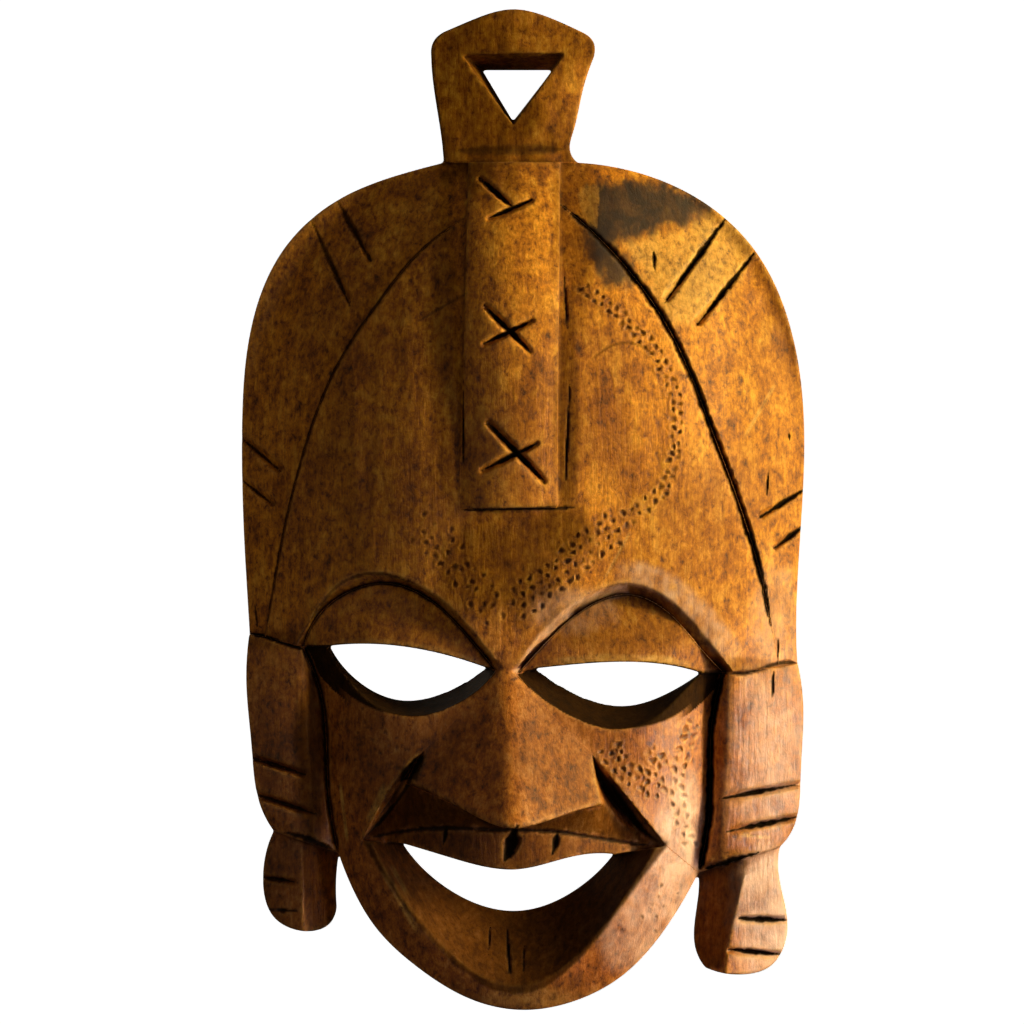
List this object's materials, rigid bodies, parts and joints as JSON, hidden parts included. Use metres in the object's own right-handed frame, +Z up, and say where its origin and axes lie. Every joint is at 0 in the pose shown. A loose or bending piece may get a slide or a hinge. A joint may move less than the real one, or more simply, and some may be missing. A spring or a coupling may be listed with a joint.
{
  "type": "carved wooden mask",
  "caption": "Carved wooden wall mask with a domed forehead, centre ridge, pierced eyes and mouth, notched ears and a hanging hole.",
  "frame": {"origin": "middle of the top edge of the crest's triangular hanging hole, in the plane of the flat back rim that lies against a wall", "axes": "+Z up towards the crest, +X to the viewer's right, the carved face looks along -Y and the open back along +Y"},
  "size_m": [0.215, 0.0732, 0.3816],
  "materials": {
    "crest": "polished, hand carved",
    "forehead_strip": "polished, hand carved",
    "left_headdress_band": "polished, hand carved",
    "right_headdress_band": "polished, hand carved",
    "forehead_panel": "polished, hand carved",
    "left_eyelid": "polished, hand carved",
    "right_eyelid": "polished, hand carved",
    "nose": "polished, hand carved",
    "left_cheek": "polished, hand carved",
    "right_cheek": "polished, hand carved",
    "upper_lip": "polished, hand carved",
    "chin": "polished, hand carved",
    "left_ear": "polished, hand carved",
    "right_ear": "polished, hand carved",
    "left_ear_drop": "polished, hand carved",
    "right_ear_drop": "polished, hand carved"
  },
  "bodies": {
    "root": {"crest": "crest", "forehead_strip": "forehead_strip", "left_headdress_band": "left_headdress_band", "right_headdress_band": "right_headdress_band", "forehead_panel": "forehead_panel", "left_eyelid": "left_eyelid", "right_eyelid": "right_eyelid", "nose": "nose", "left_cheek": "left_cheek", "right_cheek": "right_cheek", "upper_lip": "upper_lip", "chin": "chin", "left_ear": "left_ear", "right_ear": "right_ear", "left_ear_drop": "left_ear_drop", "right_ear_drop": "right_ear_drop"}
  },
  "joints": []
}
